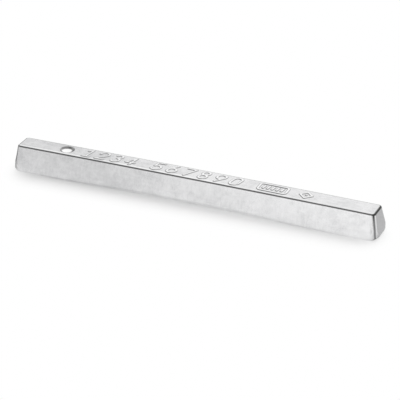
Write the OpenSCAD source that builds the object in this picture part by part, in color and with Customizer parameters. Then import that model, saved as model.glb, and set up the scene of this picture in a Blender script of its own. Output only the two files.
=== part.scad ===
// Tin ingot: one long cast bar with leaning walls, round plan corners and a round dish near one end.
// Millimetres. +Z is up and +X runs along the bar, away from the dish.
// The origin is the middle of the resting face.

/* [Bar] */

// Length over the widest line of the foot
bar_length = 305; // [150:1:450]
// Width over the widest line of the foot
bar_width = 25.4; // [24:0.2:32]
// Width of the flat of the marked face, between its edge rounds
top_width = 16.7; // [14.2:0.1:18.4]
// Height from the resting face to the marked face
bar_height = 20.7; // [14:0.1:28]

/* [Edges] */

// Plan radius of the corners of the marked face
top_corner_radius = 2.2; // [1.4:0.1:3]
// Radius of the round between the walls and the marked face
top_edge_radius = 1; // [0.6:0.1:1.4]
// Radius of the round along the foot, where the liquid metal drew in from the mould
foot_edge_radius = 3; // [1.5:0.1:3.6]

/* [Dish] */

// Diameter of the round dish in the marked face
dish_diameter = 11; // [6:0.5:13]
// Depth of the dish in its middle
dish_depth = 1.5; // [0.5:0.1:2.5]
// Distance of the middle of the dish from the left end of the bar
dish_from_end = 43; // [20:0.5:75]

/* [Sink] */

// Width of the shallow sink that shrinkage left along the resting face
sink_width = 13; // [12:0.5:14]
// Distance of the sink from each end of the bar
sink_from_end = 7; // [5:0.5:20]
// Depth of the sink along its floor
sink_depth = 0.5; // [0.3:0.05:0.55]
// Width of the sink's sloping sides
sink_side_run = 3.5; // [2:0.1:4]
// Plan radius of the corners of the sink's floor
sink_corner_radius = 1.5; // [0.8:0.1:1.6]

/* [Hidden] */

$fn = 96;
quarter_turn = 90;
half_turn = 180;

// Axes of the corner posts, from the middle of the bar; all four walls lean by the same angle
post_y = top_width / 2 - top_corner_radius;
post_reach = bar_width / 2 - post_y;
post_x = bar_length / 2 - post_reach;

// Centres of the two rounds in the wall's section, as distance from a corner post's axis and height
edge_centre = [top_corner_radius, bar_height - top_edge_radius];
foot_centre = [post_reach - foot_edge_radius, foot_edge_radius];

// Lean of the walls from the vertical, along the common tangent of the two rounds
wall_axis = edge_centre - foot_centre;
draft_angle = atan2(wall_axis.y, wall_axis.x) - acos((foot_edge_radius - top_edge_radius) / norm(wall_axis));
wall_normal = [cos(draft_angle), sin(draft_angle)];

// The wall's flat lies a hair inside that tangent, so that it crosses both rounds cleanly
wall_inset_share = 0.001;
wall_inset = wall_inset_share * top_edge_radius;
foot_join = foot_centre + (foot_edge_radius - wall_inset) * wall_normal;
edge_join = edge_centre + (top_edge_radius - wall_inset) * wall_normal;

// Sphere that leaves the dish, from its half chord and its depth
dish_chord = dish_diameter / 2;
dish_sphere_radius = (dish_chord * dish_chord + dish_depth * dish_depth) / (2 * dish_depth);
dish_x = dish_from_end - bar_length / 2;

// Axes of the sink's own corner posts
sink_reach = sink_corner_radius + sink_side_run;
sink_post_x = bar_length / 2 - sink_from_end - sink_reach;
sink_post_y = sink_width / 2 - sink_reach;

// Half section through a wall, from a corner post's axis outwards: foot round, leaning wall, top round
module wall_section() {
    intersection() {
        square([bar_width, bar_height]);
        union() {
            polygon([
                [0, 0],
                [foot_centre.x, 0],
                foot_join,
                edge_join,
                [edge_centre.x, bar_height],
                [0, bar_height]
            ]);
            translate(foot_centre) circle(r = foot_edge_radius);
            translate(edge_centre) circle(r = top_edge_radius);
        }
    }
}

// Half section of the sink, from one of its corner posts outwards
module sink_section() {
    polygon([
        [0, 0],
        [sink_reach, 0],
        [sink_corner_radius, sink_depth],
        [0, sink_depth]
    ]);
}

// Carries a half section round a rounded oblong whose corner axes lie at the two given distances
module round_plan(axis_x, axis_y, height) {
    translate([-axis_x, -axis_y, 0]) cube([2 * axis_x, 2 * axis_y, height]);
    for (turn = [0, half_turn]) rotate(turn) {
        translate([axis_x, axis_y, 0]) rotate_extrude(angle = quarter_turn) children();
        translate([-axis_x, axis_y, 0]) rotate(quarter_turn) rotate_extrude(angle = quarter_turn) children();
        translate([-axis_x, axis_y, 0]) rotate([quarter_turn, 0, quarter_turn])
            linear_extrude(2 * axis_x) children();
        translate([axis_x, axis_y, 0]) rotate([quarter_turn, 0, 0])
            linear_extrude(2 * axis_y) children();
    }
}

// The cast bar
module ingot() {
    color([0.80, 0.81, 0.82]) difference() {
        round_plan(post_x, post_y, bar_height) wall_section();
        translate([dish_x, 0, bar_height + dish_sphere_radius - dish_depth]) sphere(r = dish_sphere_radius);
        round_plan(sink_post_x, sink_post_y, sink_depth) sink_section();
    }
}

ingot();
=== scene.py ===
"""Looks of a cast tin ingot: its skin with raised marks, its satin metal and the pale studio around it."""

import logging
import math
from dataclasses import dataclass, replace
from enum import Enum
from typing import Union

import bpy
import numpy as np
from mathutils import Matrix, Vector


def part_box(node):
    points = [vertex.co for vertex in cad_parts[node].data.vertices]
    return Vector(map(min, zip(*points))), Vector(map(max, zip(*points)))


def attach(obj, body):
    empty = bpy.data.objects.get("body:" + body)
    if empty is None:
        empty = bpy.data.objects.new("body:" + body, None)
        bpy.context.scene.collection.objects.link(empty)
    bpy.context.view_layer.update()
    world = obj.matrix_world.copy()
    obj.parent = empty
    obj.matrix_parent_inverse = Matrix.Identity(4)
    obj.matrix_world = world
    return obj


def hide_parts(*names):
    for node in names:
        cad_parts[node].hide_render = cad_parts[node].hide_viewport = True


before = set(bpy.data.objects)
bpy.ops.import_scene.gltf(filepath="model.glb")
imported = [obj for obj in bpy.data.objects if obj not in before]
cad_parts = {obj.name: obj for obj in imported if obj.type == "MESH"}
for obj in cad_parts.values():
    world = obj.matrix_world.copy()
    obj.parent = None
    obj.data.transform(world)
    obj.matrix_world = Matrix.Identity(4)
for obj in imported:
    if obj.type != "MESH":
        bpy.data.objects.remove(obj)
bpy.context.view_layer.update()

Array = np.ndarray
Pair = tuple[float, float]
Triple = tuple[float, float, float]
Colour = tuple[float, float, float, float]
log = logging.getLogger("ingot")

BODY = "root"
NODE = "ingot"
# Painted shade: dark reflection lines on the edges and corners, and shade beside the marks and in the dish.
PAINTED_SHADE = "painted_shade"
# Wear on the marks' crests, with painted highlight on the near rim, the lip, the foot and in the dish.
WEAR_AND_HIGHLIGHT = "wear_and_highlight"
END = "end"
QUARTER_TURN = 90.0
FULL_TURN = 360.0
NOISE_MIDDLE = 0.5


def eased(share: Array) -> Array:
    """Smooth step 3 s² - 2 s³ of shares that are held between 0 and 1."""
    held = np.clip(share, 0.0, 1.0)
    return held * held * (3.0 - 2.0 * held)


def eased_between(value: Array, low: float, high: float) -> Array:
    """Eased share from 0 at low to 1 at high."""
    return eased((value - low) / (high - low))


@dataclass(frozen=True)
class Line:
    """A straight stroke between two points."""

    x0: float
    y0: float
    x1: float
    y1: float

    def distance(self, x: Array, y: Array) -> Array:
        """Distance from each point to its foot on the line, the foot held between the two ends.

        Args:
            x: First coordinates.
            y: Second coordinates.

        Returns:
            The distances.
        """
        dx = self.x1 - self.x0
        dy = self.y1 - self.y0
        along = ((x - self.x0) * dx + (y - self.y0) * dy) / (dx * dx + dy * dy)
        foot = np.clip(along, 0.0, 1.0)
        return np.hypot(x - self.x0 - foot * dx, y - self.y0 - foot * dy)


@dataclass(frozen=True)
class Arc:
    """A circle's arc from a bearing, counter-clockwise, in degrees. With no radius it is a dot."""

    x: float
    y: float
    radius: float
    start: float = 0.0
    sweep: float = FULL_TURN

    def distance(self, x: Array, y: Array) -> Array:
        """Distance to the circle where a point's bearing lies in the sweep, else to the arc's nearer end.

        Args:
            x: First coordinates.
            y: Second coordinates.

        Returns:
            The distances.
        """
        bearing = (np.degrees(np.arctan2(y - self.y, x - self.x)) - self.start) % FULL_TURN
        on_circle = np.abs(np.hypot(x - self.x, y - self.y) - self.radius)
        turns = np.radians([self.start, self.start + self.sweep])
        end_x = self.x + self.radius * np.cos(turns)
        end_y = self.y + self.radius * np.sin(turns)
        to_first = np.hypot(x - end_x[0], y - end_y[0])
        to_last = np.hypot(x - end_x[1], y - end_y[1])
        return np.where(bearing <= self.sweep, on_circle, np.minimum(to_first, to_last))


Stroke = Union[Line, Arc]


class Numeral(Enum):
    """Plain numerals as strokes in a cell that is one unit high."""

    ONE = (Line(0.34, 0.0, 0.34, 1.0), Line(0.34, 1.0, 0.1, 0.8), Line(0.1, 0.0, 0.58, 0.0))
    TWO = (Arc(0.3, 0.7, 0.3, -40.0, 220.0), Line(0.53, 0.507, 0.0, 0.0), Line(0.0, 0.0, 0.6, 0.0))
    THREE = (Arc(0.29, 0.76, 0.24, -90.0, 240.0), Arc(0.29, 0.26, 0.26, -150.0, 240.0))
    FOUR = (Line(0.42, 1.0, 0.0, 0.3), Line(0.0, 0.3, 0.62, 0.3), Line(0.42, 1.0, 0.42, 0.0))
    FIVE = (Line(0.56, 1.0, 0.08, 1.0), Line(0.08, 1.0, 0.07, 0.53), Arc(0.29, 0.31, 0.31, -145.0, 280.0))
    SIX = (Arc(0.3, 0.3, 0.3), Line(0.04, 0.45, 0.42, 1.0))
    SEVEN = (Line(0.0, 1.0, 0.6, 1.0), Line(0.6, 1.0, 0.22, 0.0))
    EIGHT = (Arc(0.3, 0.76, 0.24), Arc(0.3, 0.26, 0.26))
    NINE = (Arc(0.3, 0.7, 0.3), Line(0.56, 0.55, 0.18, 0.0))
    ZERO = (
        Arc(0.3, 0.7, 0.3, 0.0, 180.0),
        Line(0.0, 0.7, 0.0, 0.3),
        Arc(0.3, 0.3, 0.3, 180.0, 180.0),
        Line(0.6, 0.3, 0.6, 0.7),
    )


@dataclass(frozen=True)
class Mark:
    """One raised mark: strokes in unit cells, set on the face at a left foot with a size and a lean."""

    strokes: tuple[Stroke, ...]
    x: float
    y: float
    size: float
    lean: float

    def distance(self, x: Array, y: Array) -> Array:
        """Distance from each point of the face to the nearest stroke.

        Args:
            x: Places along the bar.
            y: Places across the bar.

        Returns:
            The distances, in metres.
        """
        v = (y - self.y) / self.size
        u = (x - self.x) / self.size - self.lean * v
        nearest = np.min([stroke.distance(u, v) for stroke in self.strokes], axis=0)
        return self.size * nearest


@dataclass(frozen=True)
class MarkRow:
    """Low raised marks along the narrow face: two groups of numerals, a plain frame and a lozenge."""

    first_group: tuple[Numeral, ...] = (Numeral.ONE, Numeral.TWO, Numeral.THREE, Numeral.FOUR)
    second_group: tuple[Numeral, ...] = (
        Numeral.FIVE, Numeral.SIX, Numeral.SEVEN, Numeral.EIGHT, Numeral.NINE, Numeral.ZERO,
    )
    first_x: float = -0.0945
    first_pitch: float = 0.0122
    second_x: float = -0.0355
    second_pitch: float = 0.0131
    numeral_height: float = 0.0115
    baseline: float = -0.0054
    lean: float = 0.2
    centre: float = 0.0006
    frame_x: float = 0.0535
    frame_length: float = 0.0228
    frame_width: float = 0.0104
    frame_corner: float = 0.0022
    bars: int = 5
    bar_pitch: float = 0.0037
    bar_rise: float = 0.0019
    lozenge_x: float = 0.0915
    lozenge_reach: float = 0.0048
    stroke_width: float = 0.0014
    flank: float = 0.0006
    rise: float = 0.00034
    # Painted shade beside the strokes, stronger towards the right.
    shade_paint: float = 0.63
    shade_drift: float = 3.0
    # Brightening of the strokes' crests: partly wear, partly painted highlight.
    crest_brightening: float = 0.45
    crest_power: int = 3

    def numerals(self, group: tuple[Numeral, ...], x: float, pitch: float) -> list[Mark]:
        """Numerals of one group from left to right, a pitch apart from the left foot of the first."""
        return [
            Mark(numeral.value, x + i * pitch, self.baseline, self.numeral_height, self.lean)
            for i, numeral in enumerate(group)
        ]

    def plain_frame(self) -> Mark:
        """A frame with round corners and a row of short bars in it, drawn in metres from its own middle.

        Returns:
            The mark.
        """
        half_x = self.frame_length / 2
        half_y = self.frame_width / 2
        r = self.frame_corner
        strokes = []
        for side in (-1.0, 1.0):
            strokes.append(Line(-half_x + r, side * half_y, half_x - r, side * half_y))
            strokes.append(Line(side * half_x, -half_y + r, side * half_x, half_y - r))
        for turn, (sx, sy) in enumerate(((1, 1), (-1, 1), (-1, -1), (1, -1))):
            strokes.append(Arc(sx * (half_x - r), sy * (half_y - r), r, QUARTER_TURN * turn, QUARTER_TURN))
        tilt = self.lean * self.bar_rise
        for place in self.bar_pitch * (np.arange(self.bars) - (self.bars - 1) / 2):
            strokes.append(Line(place - tilt, -self.bar_rise, place + tilt, self.bar_rise))
        return Mark(tuple(strokes), self.frame_x + half_x, self.centre, 1.0, 0.0)

    def lozenge(self) -> Mark:
        """A lozenge of four equal sides with a dot in it, drawn in metres from its own middle.

        Returns:
            The mark.
        """
        r = self.lozenge_reach
        corners = ((r, 0.0), (0.0, r), (-r, 0.0), (0.0, -r))
        sides = tuple(Line(*a, *b) for a, b in zip(corners, corners[1:] + corners[:1]))
        return Mark(sides + (Arc(0.0, 0.0, 0.0),), self.lozenge_x, self.centre, 1.0, 0.0)

    def share(self, x: Array, y: Array) -> Array:
        """Share of the full rise at each point: 1 on a stroke, eased to 0 over the flank beside it.

        Args:
            x: Places along the bar.
            y: Places across the bar.

        Returns:
            The shares.
        """
        marks = self.numerals(self.first_group, self.first_x, self.first_pitch)
        marks += self.numerals(self.second_group, self.second_x, self.second_pitch)
        marks += [self.plain_frame(), self.lozenge()]
        nearest = np.min([mark.distance(x, y) for mark in marks], axis=0)
        return eased((self.stroke_width / 2 + self.flank - nearest) / self.flank)

    def shade_share(self, x: Array, raised: Array) -> Array:
        """Share of painted shade by the strokes: 4 s (1 - s) of the rise's share s, more to the right."""
        return 4.0 * self.shade_paint * (1.0 + self.shade_drift * x) * raised * (1.0 - raised)

    def brightened(self, raised: Array) -> Array:
        """Share of brightening on the strokes' tops, part wear and part painted highlight, by a power of
        the rise's share.
        """
        return self.crest_brightening * raised**self.crest_power


@dataclass(frozen=True)
class Dish:
    """The round dish near the left end of the narrow face."""

    from_end: float = 0.0434
    radius: float = 0.0058
    depth: float = 0.0012
    flatness: float = 3.0
    tilt: float = 0.1
    rim_round: float = 0.00005
    # A round spot in the dish that stays free of the painted shade.
    unshaded_place: Pair = (-0.0004, 0.0001)
    unshaded_radius: float = 0.0033
    unshaded_fade: float = 0.0012
    # Painted shade over the dish outside that spot, dark towards its rim.
    shade_paint: float = 0.65

    def drop(self, x: Array, y: Array) -> Array:
        """Depth below the face: d (1 - (r² / R²)^flatness), a little more towards the far side.

        The rim is rounded by the soft maximum with zero, s log(1 + e^(depth / s)).

        Args:
            x: Places along the bar, from the middle of the dish.
            y: Places across the bar.

        Returns:
            The depths.
        """
        bowl = self.depth * (1.0 - ((x * x + y * y) / self.radius**2) ** self.flatness)
        bowl = bowl * (1.0 + self.tilt * np.clip(y / self.radius, -1.0, 1.0))
        return self.rim_round * np.logaddexp(0.0, bowl / self.rim_round)

    def shade_share(self, x: Array, y: Array) -> Array:
        """Share of painted shade: none on a round spot nor outside the dish, eased to full between them.

        Args:
            x: Places along the bar, from the middle of the dish.
            y: Places across the bar.

        Returns:
            The shares.
        """
        past = np.hypot(x - self.unshaded_place[0], y - self.unshaded_place[1]) - self.unshaded_radius
        inside = self.radius - np.hypot(x, y)
        return self.shade_paint * eased(past / self.unshaded_fade) * eased(0.5 + inside / self.unshaded_fade)


@dataclass(frozen=True)
class Sink:
    """The shallow sink that shrinkage leaves along the resting face."""

    width: float = 0.013
    from_end: float = 0.007
    depth: float = 0.0005
    side_run: float = 0.0035
    corner: float = 0.005

    def rise(self, x: Array, y: Array, length: float) -> Array:
        """Height above the floor, eased inwards over the side run from the edge of a rounded oblong.

        Args:
            x: Places along the bar.
            y: Places across the bar.
            length: Length of the bar.

        Returns:
            The heights.
        """
        out_x = np.abs(x) - (length / 2 - self.from_end - self.corner)
        out_y = np.abs(y) - (self.width / 2 - self.corner)
        beyond = np.hypot(np.maximum(out_x, 0.0), np.maximum(out_y, 0.0))
        edge = beyond + np.minimum(np.maximum(out_x, out_y), 0.0) - self.corner
        return self.depth * eased(-edge / self.side_run)


@dataclass(frozen=True)
class CastWaves:
    """The faint swells of a surface that froze against its mould."""

    seed: int = 5
    count: int = 14
    height: float = 0.00008
    shortest: float = 0.011
    longest: float = 0.055

    def swell(self, points: Array) -> Array:
        """Mean of plane sine waves with seeded directions, lengths and phases.

        Args:
            points: Places, one row each.

        Returns:
            How far each place swells outwards.
        """
        rng = np.random.default_rng(self.seed)
        heading = rng.normal(size=(3, self.count))
        heading /= np.linalg.norm(heading, axis=0)
        turns = 2.0 * math.pi / rng.uniform(self.shortest, self.longest, self.count)
        phase = rng.uniform(0.0, 2.0 * math.pi, self.count)
        return self.height * np.sin(points @ (heading * turns) + phase).mean(axis=1)


@dataclass(frozen=True)
class WallSection:
    """Half section through a wall, from a corner post's axis: top round, leaning wall, foot round."""

    height: float
    reach: float
    top_corner: float
    edge_round: float
    foot_round: float
    bloom: float = 0.0053
    bloom_from: float = 0.008
    arc_steps: int = 6
    wall_shares: tuple[float, ...] = (0.03, 0.06, 0.1, 0.3, 0.5, 0.65, 0.8, 0.97)

    @property
    def edge_centre(self) -> Array:
        """Centre of the top round, as distance from the axis and height."""
        return np.array([self.top_corner, self.height - self.edge_round])

    @property
    def foot_centre(self) -> Array:
        """Centre of the foot round, as distance from the axis and height."""
        return np.array([self.reach - self.foot_round, self.foot_round])

    @property
    def lean(self) -> float:
        """Lean of the wall along the common tangent of the two rounds, in radians.

        It is the bearing of the line between their centres less the angle whose cosine is the difference of
        their radii over that line's length.

        Returns:
            The lean.
        """
        axis = self.edge_centre - self.foot_centre
        span = float(np.hypot(*axis))
        return math.atan2(axis[1], axis[0]) - math.acos((self.foot_round - self.edge_round) / span)

    def rows(self) -> Array:
        """Rows of the section from the rim of the top face down to the floor.

        The plan corners keep the radius that they have under the top round, and bloom by an eased share
        near the foot, where the liquid metal drew out of the mould's corners.

        Returns:
            Four rows: reach from the axis, height, plan radius of the corners, and bearing of the outward
            normal above the level, in radians.
        """
        upper = np.linspace(math.pi / 2, self.lean, self.arc_steps + 1)
        lower = np.linspace(self.lean, -math.pi / 2, self.arc_steps + 1)
        top = self.edge_centre[:, None] + self.edge_round * np.array([np.cos(upper), np.sin(upper)])
        base = self.foot_centre[:, None] + self.foot_round * np.array([np.cos(lower), np.sin(lower)])
        share = np.array(self.wall_shares)
        wall = top[:, -1:] + (base[:, :1] - top[:, -1:]) * share
        reach, height = np.hstack([top, wall, base])
        bearing = np.concatenate([upper, np.full(share.shape, self.lean), lower])
        corner = np.minimum(reach, top[0, -1])
        corner[-len(lower):] = top[0, -1]
        corner = corner + self.bloom * eased(1.0 - height / self.bloom_from)
        return np.stack([reach, height, corner, bearing])


@dataclass(frozen=True)
class CornerLine:
    """A dark line of painted shade down a plan corner, standing for a dark reflection.

    Its turns are its places at the levels, in degrees from the side's wall.
    """

    shade_paint: float
    width: float
    fade: float
    levels: tuple[float, ...]
    turns: tuple[float, ...]
    core_level: float = 1.2
    core_fall: float = 1.4
    heel_width: float = 0.0
    heel_from: float = 0.0025
    knot_shade: float = 0.0
    knot_from: float = 0.0155
    knot_to: float = 0.0195
    skirt_shade: float = 0.0
    skirt_width: float = 0.0026

    def share(self, turn: Array, level: Array, radius: Array, straight: Array) -> Array:
        """Share of painted shade: full along the line, eased to a half at half its width, faded towards the
        floor.

        The line's turn runs straight from one level of the table to the next. The line widens at the heel,
        is darker in a knot under the top edge, and has a faint skirt towards the side's wall.

        Args:
            turn: Turns round the corner, in radians.
            level: Heights above the floor.
            radius: Plan radii of the corner at those heights.
            straight: Ways along the flat walls from the corner.

        Returns:
            The shares.
        """
        centre = np.radians(np.interp(level, self.levels, self.turns))
        heel = self.heel_width * eased(1.0 - level / self.heel_from)
        knot = self.knot_shade * eased_between(level, self.knot_from, self.knot_to)
        past = np.abs(turn - centre) * radius + straight
        core = (self.shade_paint + knot) * eased(self.core_level - self.core_fall * past / (self.width + heel))
        skirt = self.skirt_shade * eased(1.0 - past / self.skirt_width) * (turn < centre)
        return np.maximum(core, skirt) * eased(level / self.fade)


def strips(index: Array, closed: bool) -> Array:
    """Quads between the neighbouring rows and columns of a grid of vertex numbers.

    Args:
        index: Vertex numbers, one row of the grid per row.
        closed: Whether the last column joins the first.

    Returns:
        Four vertex numbers per quad, turned from one row to the next and then along the columns.
    """
    near = index if closed else index[:, :-1]
    far = np.roll(index, -1, axis=1) if closed else index[:, 1:]
    return np.stack([near[:-1], near[1:], far[1:], far[:-1]], axis=-1).reshape(-1, 4)


@dataclass(frozen=True)
class Rim:
    """The edge of the narrow face as a ring of points, counter-clockwise from above.

    Each has its vertex number, its place, that place held between the corner posts, the spread of the held
    place from -1 to 1 between them, the outward direction, and the way along a flat wall from the corner.
    """

    index: Array
    points: Array
    post: Array
    spread: Array
    outward: Array
    straight: Array

    @property
    def at_right(self) -> Array:
        """Square of the outward direction's part towards the right end."""
        return np.maximum(self.outward[:, 0], 0.0) ** 2

    @property
    def at_left(self) -> Array:
        """Square of the outward direction's part towards the left end."""
        return np.maximum(-self.outward[:, 0], 0.0) ** 2

    @property
    def corner(self) -> Array:
        """Turn round the corner from the side's wall, in radians."""
        return np.arctan2(np.abs(self.outward[:, 0]), np.abs(self.outward[:, 1]))


@dataclass(frozen=True)
class Walls:
    """The walls' section carried round the rim: rows from the top to the floor, a column per point."""

    reach: Array
    level: Array
    radius: Array
    bearing: Array
    edge_row: int = WallSection.arc_steps - 1

    def plan(self, rim: Rim) -> Array:
        """Places along and across the bar: post + (reach - radius) · spread + radius · outward."""
        reach, radius = self.reach[..., None], self.radius[..., None]
        return rim.post + (reach - radius) * rim.spread + radius * rim.outward

    def normal(self, rim: Rim) -> Array:
        """Outward normals, at their bearings above the level."""
        bearing = self.bearing[..., None]
        return np.concatenate([np.cos(bearing) * rim.outward, np.sin(bearing)], axis=-1)


@dataclass
class Ingot:
    """The cast bar: one closed skin over the narrow face, the walls, the foot and the resting face."""

    length: float
    width: float
    height: float
    top_width: float = 0.0167
    top_corner: float = 0.0018
    edge_round: float = 0.001
    end_round: float = 0.0015
    end_inset: float = 0.0004
    left_draw: float = 0.0012
    far_draw: float = 0.0006
    far_power: int = 3
    # Painted shade along the top edges, darker at the right end: dark reflection lines.
    side_shade: float = 0.67
    end_shade: float = 1.0
    end_shade_gain: float = 2.0
    edge_gain: float = 8.0
    flat_turn: float = 0.01
    # Painted shade just inside the narrow face's rim.
    rim_shade: float = 0.5
    rim_shade_width: float = 0.0006
    # Painted highlight along the near rim, fainter towards the right.
    rim_highlight: float = 0.75
    rim_highlight_right: float = 0.15
    rim_highlight_from: float = -0.02
    rim_highlight_to: float = 0.06
    rim_highlight_place: float = 0.0013
    rim_highlight_width: float = 0.0013
    # Painted highlight on the walls just under the top round.
    wall_highlight: float = 0.2
    wall_highlight_width: float = 0.0013
    end_turn: float = 42.0
    end_fade: float = 8.0
    # Painted highlight that brightens the foot, more at the tips.
    foot_brightening: float = 0.45
    tip_brightening: float = 0.6
    tip_from: float = 0.105
    tip_to: float = 0.14
    heel_from: float = 0.03
    heel_to: float = 0.12
    heel_round: float = 0.001
    heel_reach: float = 0.0004
    foot_round: float = 0.003
    camber: float = 0.0006
    marked_from: float = -0.117
    marked_to: float = 0.099
    marked_columns: int = 730
    plain_columns: int = 24
    corner_columns: int = 16
    face_rows: int = 62
    base_shares: tuple[float, ...] = (0.72, 0.6, 0.45, 0.3)
    # Painted shade down the plan corners: dark reflection lines.
    right_line: CornerLine = CornerLine(
        shade_paint=0.8,
        width=0.0017,
        fade=0.0003,
        levels=(0.0, 0.002, 0.004, 0.006, 0.008),
        turns=(50.0, 49.1, 47.0, 44.9, 44.0),
        heel_width=0.004,
        knot_shade=0.2,
        skirt_shade=0.35,
    )
    left_line: CornerLine = CornerLine(
        shade_paint=0.8,
        width=0.0014,
        fade=0.0035,
        levels=(0.0, 0.0035, 0.006, 0.0084, 0.0111, 0.0147, 0.0182),
        turns=(40.0, 40.0, 29.0, 19.0, 20.0, 27.0, 37.0),
        heel_width=0.002,
        heel_from=0.012,
    )
    marks: MarkRow = MarkRow()
    dish: Dish = Dish()
    sink: Sink = Sink()
    waves: CastWaves = CastWaves()

    @property
    def post_y(self) -> float:
        """Distance of the corner posts' axes from the middle, across the bar."""
        return self.top_width / 2 - self.top_corner

    @property
    def reach(self) -> float:
        """Reach of the foot from a corner post's axis."""
        return self.width / 2 - self.post_y

    @property
    def posts_x(self) -> Pair:
        """Places of the left and the right corner posts' axes, along the bar."""
        return self.reach - self.length / 2, self.length / 2 - self.reach - self.end_inset

    def sections(self) -> tuple[WallSection, ...]:
        """Sections through the sides, their sharper heels, the right end and the left end.

        The right end has a larger edge round, and the left end is drawn in and has no bloom.

        Returns:
            The four sections.
        """
        side = WallSection(self.height, self.reach, self.top_corner, self.edge_round, self.foot_round)
        heel = replace(side, reach=self.reach + self.heel_reach, foot_round=self.heel_round)
        right = replace(side, reach=self.reach + self.end_inset, edge_round=self.end_round)
        left = replace(side, reach=self.reach - self.left_draw, bloom=0.0)
        return side, heel, right, left

    def face_plan(self) -> tuple[Array, Array]:
        """Grid over the narrow face: columns along the bar, and rows that share out each column's width.

        The columns stand closer along the marks and the dish than past them. Past a corner post the half
        width falls along the corner's quarter circle, sqrt(r² - d²).

        Returns:
            Places along and across the bar, one row of the arrays per column of the face.
        """
        left, right = self.posts_x
        corner = self.top_corner * np.sin(np.linspace(0.0, math.pi / 2, self.corner_columns + 1))
        straight = np.concatenate([
            np.linspace(left, self.marked_from, self.plain_columns, endpoint=False)[1:],
            np.linspace(self.marked_from, self.marked_to, self.marked_columns, endpoint=False),
            np.linspace(self.marked_to, right, self.plain_columns, endpoint=False),
        ])
        along = np.concatenate([left - corner[::-1], straight, right + corner])
        past = np.maximum(np.maximum(left - along, along - right), 0.0)
        half = self.post_y + np.sqrt(np.maximum(self.top_corner**2 - past**2, 0.0))
        share = np.linspace(-1.0, 1.0, self.face_rows + 1)
        return np.broadcast_arrays(along[:, None], half[:, None] * share)

    def rim(self, x: Array, y: Array) -> Rim:
        """Ring round the edge of the narrow face's grid.

        Args:
            x: The grid's places along the bar.
            y: Its places across the bar.

        Returns:
            The ring.
        """
        index = np.arange(x.size).reshape(x.shape)
        ring = np.concatenate([index[:, 0], index[-1, 1:-1], index[::-1, -1], index[0, -2:0:-1]])
        points = np.stack([x, y], axis=-1).reshape(-1, 2)[ring]
        left, right = self.posts_x
        low = np.array([left, -self.post_y])
        high = np.array([right, self.post_y])
        post = np.clip(points, low, high)
        spread = (2.0 * post - low - high) / (high - low)
        outward = (points - post) / self.top_corner
        straight = np.maximum(np.minimum(points - low, high - points), 0.0).sum(axis=1)
        return Rim(ring, points, post, spread, outward, straight)

    def heel(self, rim: Rim) -> Array:
        """Share of the sharper heel, eased from none in the middle of the bar to full towards both ends."""
        return eased_between(np.abs(rim.points[:, 0]), self.heel_from, self.heel_to)

    def walls(self, rim: Rim) -> Walls:
        """Mean of the four sections at each rim point.

        The weights are squares of the outward direction's parts. The sides and their heels share theirs.

        Args:
            rim: The edge that the walls hang from.

        Returns:
            The walls.
        """
        heel = self.heel(rim)
        at_side = 1.0 - rim.at_right - rim.at_left
        parts = np.stack([at_side * (1.0 - heel), at_side * heel, rim.at_right, rim.at_left])
        rows = np.stack([section.rows()[:, 1:] for section in self.sections()])
        return Walls(*np.einsum("skr,sn->krn", rows, parts))

    def base(self, x: Array, rim: Rim, foot: Array) -> Array:
        """Resting face with its sink: rows a share of the way from the spine to the foot, then the spine.

        Args:
            x: Places along the bar of the narrow face's grid.
            rim: The edge above.
            foot: Plan of the walls' lowest row.

        Returns:
            The vertices.
        """
        spine_x = np.clip(rim.points[:, 0], *self.posts_x)
        spine = np.stack([spine_x, np.zeros_like(spine_x)], axis=-1)
        share = np.array(self.base_shares)[:, None, None]
        rows = spine + share * (foot - spine)
        middle = x[self.corner_columns:-self.corner_columns, 0]
        flat = np.concatenate([rows.reshape(-1, 2), np.stack([middle, np.zeros_like(middle)], axis=-1)])
        return np.column_stack([flat, self.sink.rise(flat[:, 0], flat[:, 1], self.length)])

    def settled(self, vertices: Array) -> Array:
        """Draws in the upper part of the far side, more towards the left, and bows the bar up.

        The draw is d (1 - 2x / length) (y / half width)^power z / height, and the camber is
        c (1 - (2x / length)²).

        Args:
            vertices: The straight bar.

        Returns:
            The settled bar.
        """
        x, y, z = vertices.T
        along = 2.0 * x / self.length
        far = np.clip(y / (self.post_y + self.top_corner), 0.0, 1.0) ** self.far_power * z / self.height
        drawn = y - self.far_draw * (1.0 - along) * far
        return np.stack([x, drawn, z + self.camber * (1.0 - along**2)], axis=-1)

    def facets(self, x: Array, rim: Rim, count: int) -> tuple[Array, Array]:
        """Quads over the face, the walls and the base, and triangles along the spine.

        Args:
            x: Places along the bar of the narrow face's grid.
            rim: Its edge.
            count: Rows below the rim.

        Returns:
            Vertex numbers of the quads and of the triangles, those of no area left out.
        """
        index = np.arange(x.size).reshape(x.shape)
        below = x.size + np.arange(count * len(rim.index)).reshape(count, -1)
        quads = np.concatenate([
            strips(index.T, closed=False)[:, ::-1],
            strips(np.vstack([rim.index, below]), closed=True),
        ])
        column = np.searchsorted(x[:, 0], rim.points[:, 0]) - self.corner_columns
        spine = below.max() + 1 + np.clip(column, 0, len(x) - 2 * self.corner_columns - 1)
        last = strips(np.vstack([below[-1], spine]), closed=True)
        triangles = np.concatenate([last[:, [0, 1, 2]], last[:, [0, 2, 3]]])
        whole = (triangles != np.roll(triangles, 1, axis=1)).all(axis=1)
        return quads, triangles[whole]

    def face_paint(self, x: Array, y: Array, raised: Array, hollow: Array) -> dict[str, Array]:
        """Painted shade beside the marks, round the rim and in the dish; wear and painted highlight on the
        marks, painted highlight on the near rim and in the dish.

        Args:
            x: Places along the bar.
            y: Places across the bar.
            raised: Shares of the marks' rise.
            hollow: Depths of the dish.

        Returns:
            Shares of painted shade, of wear and painted highlight, and of the ends' flats.
        """
        from_side = y[:, -1:] - np.abs(y)
        inset = np.minimum(from_side, np.minimum(x - x[0, 0], x[-1, 0] - x))
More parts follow.
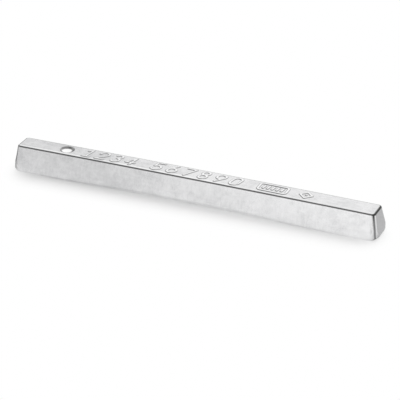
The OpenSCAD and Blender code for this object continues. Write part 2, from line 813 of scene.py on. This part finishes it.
        # Painted shade inside the rim.
        rim_shade = self.rim_shade * eased(1.0 - inset / self.rim_shade_width)
        # Painted highlight along the near rim.
        on_rim = eased(1.0 - np.abs(from_side - self.rim_highlight_place) / self.rim_highlight_width) * (y < 0.0)
        on_right = eased_between(x, self.rim_highlight_from, self.rim_highlight_to)
        rim_highlight = self.rim_highlight + (self.rim_highlight_right - self.rim_highlight) * on_right
        # Brightening: wear and painted highlight on the marks, painted highlight along the near rim,
        # painted reflection in the dish.
        brightened = self.marks.brightened(raised) + rim_highlight * on_rim + hollow / self.dish.depth
        # Painted shade in the dish.
        dish_shade = self.dish.shade_share(x + self.length / 2 - self.dish.from_end, y)
        return {
            PAINTED_SHADE: self.marks.shade_share(x, raised) + rim_shade + dish_shade,
            WEAR_AND_HIGHLIGHT: np.clip(brightened, 0.0, 1.0),
            END: np.zeros_like(raised),
        }

    def wall_paint(self, rim: Rim, walls: Walls) -> dict[str, Array]:
        """Painted shade on the top round and down the corners, painted highlight at the foot and the lip,
        and the ends' flats.

        The turn runs from 1 at the face to 0 where the top round meets the wall. An end's flat reaches
        round the corner by the share that the plan radius has bloomed.

        Args:
            rim: The edge that the walls hang from.
            walls: The walls.

        Returns:
            Shares of painted shade, of wear and painted highlight, and of the ends' flats.
        """
        lean = walls.bearing[walls.edge_row]
        turn = (walls.bearing - lean) / (math.pi / 2 - lean)
        below_edge = turn < self.flat_turn
        # Painted shade along the top round, darker towards the right end.
        towards_end = eased(self.end_shade_gain * np.sqrt(rim.at_right))
        edge_shade = self.side_shade + (self.end_shade - self.side_shade) * towards_end
        on_edge = edge_shade * eased(self.edge_gain * turn) * eased(self.edge_gain * (1.0 - turn))
        # Painted shade down the corners, as dark reflection lines.
        place = (rim.corner, walls.level, walls.radius, rim.straight)
        on_right = rim.outward[:, 0] > 0.0
        on_corner = np.where(on_right, self.right_line.share(*place), self.left_line.share(*place))

        bloomed = np.maximum(1.0 - walls.radius[walls.edge_row] / walls.radius, 0.0)
        end_from = math.pi / 2 - math.radians(self.end_turn) * bloomed
        on_end = eased(1.0 + (rim.corner - end_from) / math.radians(self.end_fade)) * below_edge

        # Painted highlight on the foot and on the lip under the top round.
        tip = eased_between(np.abs(rim.points[:, 0]), self.tip_from, self.tip_to)
        foot_brightening = self.foot_brightening * (1.0 - self.heel(rim)) + self.tip_brightening * tip
        on_foot = foot_brightening * eased(1.0 - walls.level / self.foot_round)
        below = walls.level[walls.edge_row] - walls.level
        on_lip = eased(1.0 - below / self.wall_highlight_width) * below_edge
        return {
            PAINTED_SHADE: np.maximum(on_edge, on_corner),
            WEAR_AND_HIGHLIGHT: on_foot + self.wall_highlight * on_lip,
            END: on_end,
        }

    def skin(self) -> tuple[Array, Array, Array, dict[str, Array]]:
        """The whole skin: the face's grid, the walls hung round its edge, and rows across the base.

        Cast waves swell the face and the walls outwards, eased to none at the foot.

        Returns:
            Vertices, quads, triangles along the spine, and shares of painted shade, of wear and painted
            highlight, and of the ends' flats at each vertex.
        """
        x, y = self.face_plan()
        raised = self.marks.share(x, y)
        hollow = self.dish.drop(x + self.length / 2 - self.dish.from_end, y)
        z = self.height + self.marks.rise * raised - hollow
        face = np.stack([x, y, z], axis=-1).reshape(-1, 3)
        rim = self.rim(x, y)
        walls = self.walls(rim)
        plan = walls.plan(rim)
        wall = np.concatenate([plan, walls.level[..., None]], axis=-1).reshape(-1, 3)
        base = self.base(x, rim, plan[-1])

        shell = np.concatenate([face, wall])
        upright = np.broadcast_to([0.0, 0.0, 1.0], face.shape)
        normal = np.concatenate([upright, walls.normal(rim).reshape(-1, 3)])
        held = eased(shell[:, 2] / (2.0 * self.foot_round))
        shell = shell + normal * (held * self.waves.swell(shell))[:, None]
        vertices = self.settled(np.concatenate([shell, base]))

        on_face = self.face_paint(x, y, raised, hollow)
        on_wall = self.wall_paint(rim, walls)
        bare = np.zeros(len(base))
        shares = {
            name: np.concatenate([on_face[name].ravel(), on_wall[name].ravel(), bare])
            for name in (PAINTED_SHADE, WEAR_AND_HIGHLIGHT, END)
        }
        quads, triangles = self.facets(x, rim, len(plan) + len(self.base_shares))
        return vertices, quads, triangles, shares

    def build(self) -> bpy.types.Object:
        """Puts the skin into one smooth mesh object at the origin, with its painted shares as attributes.

        Returns:
            The piece.
        """
        vertices, quads, triangles, shares = self.skin()
        mesh = bpy.data.meshes.new("cast_ingot")
        mesh.from_pydata(vertices, [], quads.tolist() + triangles.tolist())
        for name, share in shares.items():
            mesh.attributes.new(name, "FLOAT", "POINT").data.foreach_set("value", share.astype(np.float32))
        mesh.shade_smooth()
        mesh.update()
        piece = bpy.data.objects.new("cast_ingot", mesh)
        bpy.context.scene.collection.objects.link(piece)
        return piece

    def dress(self, piece: bpy.types.Object, finish: "TinFinish") -> None:
        """Gives the piece its metal and ties it to the frame.

        Args:
            piece: The piece.
            finish: The metal.
        """
        piece.data.materials.append(finish.material())
        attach(piece, BODY)
        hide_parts(NODE)


class Shade:
    """One output of a shader tree. Python's operators on it add Math nodes."""

    def __init__(self, tree: "ShaderTree", socket: bpy.types.NodeSocket) -> None:
        """Wraps a socket of a tree."""
        self.tree = tree
        self.socket = socket

    def maths(self, operation: str, *values: "Value") -> "Shade":
        """Adds a Math node with these inputs."""
        return self.tree.node("ShaderNodeMath", {"operation": operation}, dict(enumerate(values)))

    def __add__(self, other: "Value") -> "Shade":
        """Sum."""
        return self.maths("ADD", self, other)

    def __radd__(self, other: "Value") -> "Shade":
        """Sum, with the number first."""
        return self.maths("ADD", other, self)

    def __sub__(self, other: "Value") -> "Shade":
        """Difference."""
        return self.maths("SUBTRACT", self, other)

    def __rsub__(self, other: "Value") -> "Shade":
        """Difference from a number."""
        return self.maths("SUBTRACT", other, self)

    def __mul__(self, other: "Value") -> "Shade":
        """Product."""
        return self.maths("MULTIPLY", self, other)

    def __rmul__(self, other: "Value") -> "Shade":
        """Product, with the number first."""
        return self.maths("MULTIPLY", other, self)

    def larger(self, other: "Value") -> "Shade":
        """The larger of two values."""
        return self.maths("MAXIMUM", self, other)

    def ramp(self, low: float, high: float) -> "Shade":
        """Eased share from 0 at low to 1 at high; low may be the larger number.

        Args:
            low: Value that gives 0.
            high: Value that gives 1.

        Returns:
            The share.
        """
        sockets = {0: self, 1: min(low, high), 2: max(low, high)}
        share = self.tree.node("ShaderNodeMapRange", {"interpolation_type": "SMOOTHSTEP"}, sockets)
        return share if low < high else 1.0 - share


Value = Union[Shade, float, tuple]


class Ray(Enum):
    """Kinds of rays that a shader can tell apart."""

    CAMERA = "Is Camera Ray"
    GLOSSY = "Is Glossy Ray"
    THROUGH = "Is Transmission Ray"


@dataclass(frozen=True)
class Layer:
    """One layer of smooth noise: features per metre along each axis, and its weights in the finish."""

    scale: Triple
    detail: float
    roughness: float
    in_tone: float = 0.0
    in_gloss: float = 0.0
    in_relief: float = 0.0


class ShaderTree:
    """The node tree of a material or a world."""

    def __init__(self, owner: Union[bpy.types.Material, bpy.types.World]) -> None:
        """Turns the owner's nodes on and empties its tree.

        Args:
            owner: The material or the world.
        """
        owner.use_nodes = True
        self.tree = owner.node_tree
        self.tree.nodes.clear()

    def node(self, kind: str, settings: dict[str, object], sockets: dict[Union[str, int], Value],
             output: Union[str, int] = 0) -> Shade:
        """Adds one node.

        Args:
            kind: The node's type.
            settings: Its properties, which are set first.
            sockets: Values or links of its inputs, by name or number.
            output: The output that is wanted, by name or number.

        Returns:
            That output.
        """
        made = self.tree.nodes.new(kind)
        for name, value in settings.items():
            setattr(made, name, value)
        for name, value in sockets.items():
            if isinstance(value, Shade):
                self.tree.links.new(value.socket, made.inputs[name])
            else:
                made.inputs[name].default_value = value
        return Shade(self, made.outputs[output] if made.outputs else None)

    def place(self) -> Shade:
        """Object coordinates."""
        return self.node("ShaderNodeTexCoord", {}, {}, "Object")

    def attribute(self, name: str) -> Shade:
        """A share that the mesh carries."""
        return self.node("ShaderNodeAttribute", {"attribute_name": name}, {}, "Fac")

    def ray(self, kind: Ray) -> Shade:
        """1 for rays of a kind."""
        return self.node("ShaderNodeLightPath", {}, {}, kind.value)

    def shown(self) -> Shade:
        """1 for rays that show a thing: straight to the camera, mirrored or let through."""
        return self.ray(Ray.CAMERA).larger(self.ray(Ray.GLOSSY)).larger(self.ray(Ray.THROUGH))

    def noise(self, vector: Shade, layer: Layer) -> Shade:
        """Smooth noise around a half, in coordinates that a layer scales."""
        scaled = self.node("ShaderNodeMapping", {}, {"Vector": vector, "Scale": layer.scale})
        return self.node("ShaderNodeTexNoise", {}, {
            "Vector": scaled, "Scale": 1.0, "Detail": layer.detail, "Roughness": layer.roughness,
        })

    def vector(self, operation: str, *values: Value) -> Shade:
        """Adds a Vector Math node with these inputs."""
        return self.node("ShaderNodeVectorMath", {"operation": operation}, dict(enumerate(values)))

    def blend(self, share: Shade, low: Value, high: Value) -> Shade:
        """Colour between two colours, by a share."""
        return self.node("ShaderNodeMix", {"data_type": "RGBA"}, {0: share, 6: low, 7: high}, 2)


@dataclass(frozen=True)
class TinFinish:
    """Cast tin with a satin skin: pale, faintly mottled, with fine grain and mould streaks."""

    pale: Colour = (0.75, 0.75, 0.755, 1.0)
    dull: Colour = (0.58, 0.582, 0.589, 1.0)
    # Colour of wear and painted highlight.
    bright: Colour = (0.92, 0.92, 0.92, 1.0)
    end: Colour = (0.46, 0.46, 0.465, 1.0)
    # Colour of the painted shade.
    shade_paint: Colour = (0.05, 0.05, 0.05, 1.0)
    mottle: Layer = Layer((70.0, 70.0, 70.0), 3.0, 0.6, in_tone=0.4, in_gloss=0.10)
    bloom: Layer = Layer((310.0, 310.0, 310.0), 4.0, 0.6, in_tone=0.3, in_gloss=0.10, in_relief=0.8)
    grain: Layer = Layer((1500.0, 1500.0, 1500.0), 4.0, 0.65, in_relief=0.55)
    streak: Layer = Layer((900.0, 900.0, 45.0), 3.0, 0.6, in_tone=0.15, in_gloss=0.08, in_relief=0.35)
    lap: Layer = Layer((30.0, 30.0, 420.0), 2.0, 0.5, in_relief=0.5)
    drawn: Layer = Layer((22.0, 560.0, 560.0), 2.0, 0.6, in_tone=0.15)
    drift: float = 0.105
    drift_span: Pair = (-0.065, 0.005)
    tone_span: Pair = (0.285, 0.685)
    end_cover: float = 1.1
    end_streak: float = 0.3
    roughness: float = 0.22
    # Drop in roughness where the wear and painted highlight lie.
    wear_and_highlight: float = 0.12
    end_roughness: float = 0.25
    grain_depth: float = 0.000018

    def material(self) -> bpy.types.Material:
        """Builds the metal's nodes.

        The tone runs from pale to dull by the layers' weighted sum, and is paler towards the right. Places
        of wear and painted highlight are brighter and smoother, the ends' flats darker and rougher, and
        painted shade covers them all.

        Returns:
            The material.
        """
        made = bpy.data.materials.new("cast_tin")
        tree = ShaderTree(made)
        place = tree.place()
        layers = (self.mottle, self.bloom, self.grain, self.streak, self.lap, self.drawn)
        noises = {layer: tree.noise(place, layer) for layer in layers}
        # The mesh's shares: painted shade, wear with painted highlight, and the ends' flats.
        painted_shade, wear_and_highlight, at_end = (tree.attribute(name) for name in (PAINTED_SHADE, WEAR_AND_HIGHLIGHT, END))

        along = tree.node("ShaderNodeSeparateXYZ", {}, {0: place})
        tone = sum(layer.in_tone * noise for layer, noise in noises.items() if layer.in_tone)
        dulled = (tone - self.drift * along.ramp(*self.drift_span)).ramp(*self.tone_span)
        # Wear and painted highlight brighten the metal.
        metal = tree.blend(wear_and_highlight, tree.blend(dulled, self.pale, self.dull), self.bright)
        covered = at_end * (self.end_cover - self.end_streak * noises[self.streak])
        metal = tree.blend(covered, metal, self.end)
        # Painted shade darkens the metal towards near black.
        colour = tree.blend(painted_shade, metal, self.shade_paint)
        gloss = sum(
            layer.in_gloss * (noise - NOISE_MIDDLE) for layer, noise in noises.items() if layer.in_gloss
        )
        roughness = self.roughness + gloss + self.end_roughness * at_end - self.wear_and_highlight * wear_and_highlight
        relief = sum(layer.in_relief * noise for layer, noise in noises.items() if layer.in_relief)
        bump = tree.node("ShaderNodeBump", {}, {
            "Strength": 1.0, "Distance": self.grain_depth, "Height": relief,
        })
        surface = tree.node("ShaderNodeBsdfPrincipled", {}, {
            "Base Color": colour, "Roughness": roughness, "Metallic": 1.0, "Normal": bump,
        })
        tree.node("ShaderNodeOutputMaterial", {}, {"Surface": surface})
        return made


@dataclass(frozen=True)
class FloorFinish:
    """A matt white floor that fades into the white background away from the object."""

    white: Colour = (0.92, 0.92, 0.92, 1.0)
    mirrored_lift: float = 0.22
    seen_lift: float = 0.11
    middle: Triple = (0.001, -0.005, 0.0)
    half_length: float = 0.129
    mirrored_fade: Pair = (0.32, 0.6)
    seen_fade: Pair = (0.0059, 0.0339)

    def material(self) -> bpy.types.Material:
        """Builds the floor's nodes: matt white, with a small lift for rays that show it.

        It fades by the distance from a line under the bar.

        Returns:
            The material.
        """
        made = bpy.data.materials.new("white_floor")
        tree = ShaderTree(made)
        shown = tree.shown()
        camera = tree.ray(Ray.CAMERA)
        away = tree.vector("ABSOLUTE", tree.vector("SUBTRACT", tree.place(), self.middle))
        away = tree.vector("SUBTRACT", away, (self.half_length, 0.0, 0.0))
        away = tree.vector("MAXIMUM", away, (0.0, 0.0, 0.0))
        reach = tree.node("ShaderNodeVectorMath", {"operation": "LENGTH"}, {0: away}, "Value")
        mirrored = reach.ramp(*self.mirrored_fade) * shown
        faded = mirrored + camera * (reach.ramp(*self.seen_fade) - mirrored)
        matt = tree.node("ShaderNodeBsdfDiffuse", {}, {"Color": self.white})
        level = self.mirrored_lift * shown + (self.seen_lift - self.mirrored_lift) * camera
        lift = tree.node("ShaderNodeEmission", {}, {"Strength": level})
        lit = tree.node("ShaderNodeAddShader", {}, {0: matt, 1: lift})
        plain = tree.node("ShaderNodeEmission", {}, {"Strength": 1.0})
        surface = tree.node("ShaderNodeMixShader", {}, {0: faded, 1: lit, 2: plain})
        tree.node("ShaderNodeOutputMaterial", {}, {"Surface": surface})
        return made


@dataclass(frozen=True)
class Lamp:
    """A square soft lamp with its place, its side and its power in watts."""

    name: str
    place: Triple
    size: float
    power: float

    def build(self) -> bpy.types.Object:
        """Makes the lamp, turned to the middle of the object and not mirrored by the metal.

        Returns:
            The lamp.
        """
        light = bpy.data.lights.new(self.name, "AREA")
        light.size = self.size
        light.energy = self.power
        lamp = bpy.data.objects.new(self.name, light)
        lamp.location = self.place
        lamp.rotation_euler = Vector(self.place).to_track_quat("Z", "Y").to_euler()
        lamp.visible_glossy = False
        bpy.context.scene.collection.objects.link(lamp)
        return lamp


@dataclass(frozen=True)
class Studio:
    """Pale floor, white background, two soft lamps, and the tent and ceiling that the metal mirrors.

    The pairs are values of a direction's parts between which a share of the sky rises from 0 to 1.
    """

    floor_reach: float = 12.0
    floor_lines: int = 3
    ambient: float = 0.45
    key: Lamp = Lamp("key_lamp", (-0.2, 0.58, 0.8), 0.9, 4.9)
    fill: Lamp = Lamp("fill_lamp", (0.22, -0.36, 0.2), 0.2, 0.8)
    sweep_bearing: float = 15.0
    sweep_level: float = 1.16
    sweep_dim: float = 0.74
    sweep_side: Pair = (-0.45, -0.1)
    low_drop: float = 0.35
    low_height: Pair = (0.4, 0.05)
    back_depth: Pair = (0.2, 0.5)
    tent_level: float = 0.95
    tent_height: Pair = (0.72, 0.52)
    ceiling_level: float = 0.7
    lane_level: float = 0.4
    lane_right: Pair = (-0.12, -0.22)
    lane_left: Pair = (-0.66, -0.54)
    lane_front: Pair = (0.1, -0.2)
    gap_drop: float = 0.4
    gap_height: Pair = (0.3, 0.15)
    gap_front: Pair = (-0.3, -0.6)
    gap_right: Pair = (-0.2, -0.47)
    gap_left: Pair = (-0.9, -0.6)

    def floor(self) -> bpy.types.Object:
        """A level sheet under the object, from two spans of a grid.

        Returns:
            The floor.
        """
        span = np.linspace(-self.floor_reach, self.floor_reach, self.floor_lines)
        x, y = np.meshgrid(span, span, indexing="ij")
        vertices = np.stack([x, y, np.zeros_like(x)], axis=-1).reshape(-1, 3)
        index = np.arange(x.size).reshape(x.shape)
        mesh = bpy.data.meshes.new("floor")
        mesh.from_pydata(vertices, [], strips(index.T, closed=False)[:, ::-1].tolist())
        mesh.update()
        sheet = bpy.data.objects.new("floor", mesh)
        bpy.context.scene.collection.objects.link(sheet)
        mesh.materials.append(FloorFinish().material())
        return sheet

    def sky(self, tree: ShaderTree) -> Shade:
        """What the metal mirrors: a pale tent, brightest behind the object, under a grey ceiling.

        A dim lane crosses the ceiling from front to back, and the tent has a low gap at the front's left.

        Args:
            tree: The world's tree.

        Returns:
            The level in each direction.
        """
        heading = tree.node("ShaderNodeTexCoord", {}, {}, "Generated")
        x, y, z = (tree.node("ShaderNodeSeparateXYZ", {}, {0: heading}, i) for i in range(3))
        turn = math.radians(self.sweep_bearing)
        side = math.cos(turn) * x + math.sin(turn) * y
        low = z.ramp(*self.low_height)
        back = y.ramp(*self.back_depth)
        tent = z.ramp(*self.tent_height)
        lane = x.ramp(*self.lane_right) * x.ramp(*self.lane_left)
        cover = tent + lane * y.ramp(*self.lane_front) * (low - tent)
        gap = z.ramp(*self.gap_height) * y.ramp(*self.gap_front)
        gap = gap * x.ramp(*self.gap_right) * x.ramp(*self.gap_left)
        sweep = self.sweep_dim + (self.sweep_level - self.sweep_dim) * side.ramp(*self.sweep_side)
        band = self.tent_level * (1.0 - self.gap_drop * gap)
        band = band + back * (sweep - self.low_drop * low - band)
        ceiling = self.ceiling_level + (self.lane_level - self.ceiling_level) * lane
        return ceiling + cover * (band - ceiling)

    def world(self) -> bpy.types.World:
        """White for the camera, the sky for mirrored rays and an even level for all else.

        Returns:
            The world.
        """
        made = bpy.data.worlds.new("studio")
        tree = ShaderTree(made)
        white = tree.ray(Ray.CAMERA).larger(tree.ray(Ray.THROUGH))
        level = self.ambient + tree.ray(Ray.GLOSSY) * (self.sky(tree) - self.ambient)
        level = level + white * (1.0 - level)
        back = tree.node("ShaderNodeBackground", {}, {"Color": level, "Strength": 1.0})
        tree.node("ShaderNodeOutputWorld", {}, {"Surface": back})
        bpy.context.scene.world = made
        return made

    def build(self) -> None:
        """Makes the floor, the lamps and the world, and sets the plain view transform."""
        self.floor()
        self.key.build()
        self.fill.build()
        self.world()
        bpy.context.scene.view_settings.view_transform = "Standard"


@dataclass(frozen=True)
class PhotoCamera:
    """The camera at the photograph's place, turned left by its yaw and down by its pitch."""

    place: Triple = (0.55309, -1.25761, 0.7026)
    yaw: float = 23.56
    pitch: float = 27.13
    focal_pixels: float = 2000.0
    frame_pixels: float = 400.0
    sensor: float = 36.0

    def build(self) -> bpy.types.Object:
        """Makes the camera from its right, up and back directions.

        Returns:
            The camera.
        """
        data = bpy.data.cameras.new("camera")
        data.sensor_width = self.sensor
        data.lens = self.sensor * self.focal_pixels / self.frame_pixels
        yaw = math.radians(self.yaw)
        pitch = math.radians(self.pitch)
        right = Vector((math.cos(yaw), math.sin(yaw), 0.0))
        back = Vector((math.sin(yaw) * math.cos(pitch), -math.cos(yaw) * math.cos(pitch), math.sin(pitch)))
        turn = Matrix((right, back.cross(right), back)).transposed()
        camera = bpy.data.objects.new("camera", data)
        camera.matrix_world = Matrix.Translation(self.place) @ turn.to_4x4()
        bpy.context.scene.collection.objects.link(camera)
        bpy.context.scene.camera = camera
        return camera


def main() -> None:
    """Builds the camera, the studio and the bar in order."""
    logging.basicConfig(level=logging.INFO, format="%(message)s")
    PhotoCamera().build()
    Studio().build()
    low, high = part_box(NODE)
    ingot = Ingot(*(high - low))
    piece = ingot.build()
    ingot.dress(piece, TinFinish())
    log.info("%s: %d vertices, %d faces", piece.name, len(piece.data.vertices), len(piece.data.polygons))


if __name__ == "__main__":
    main()
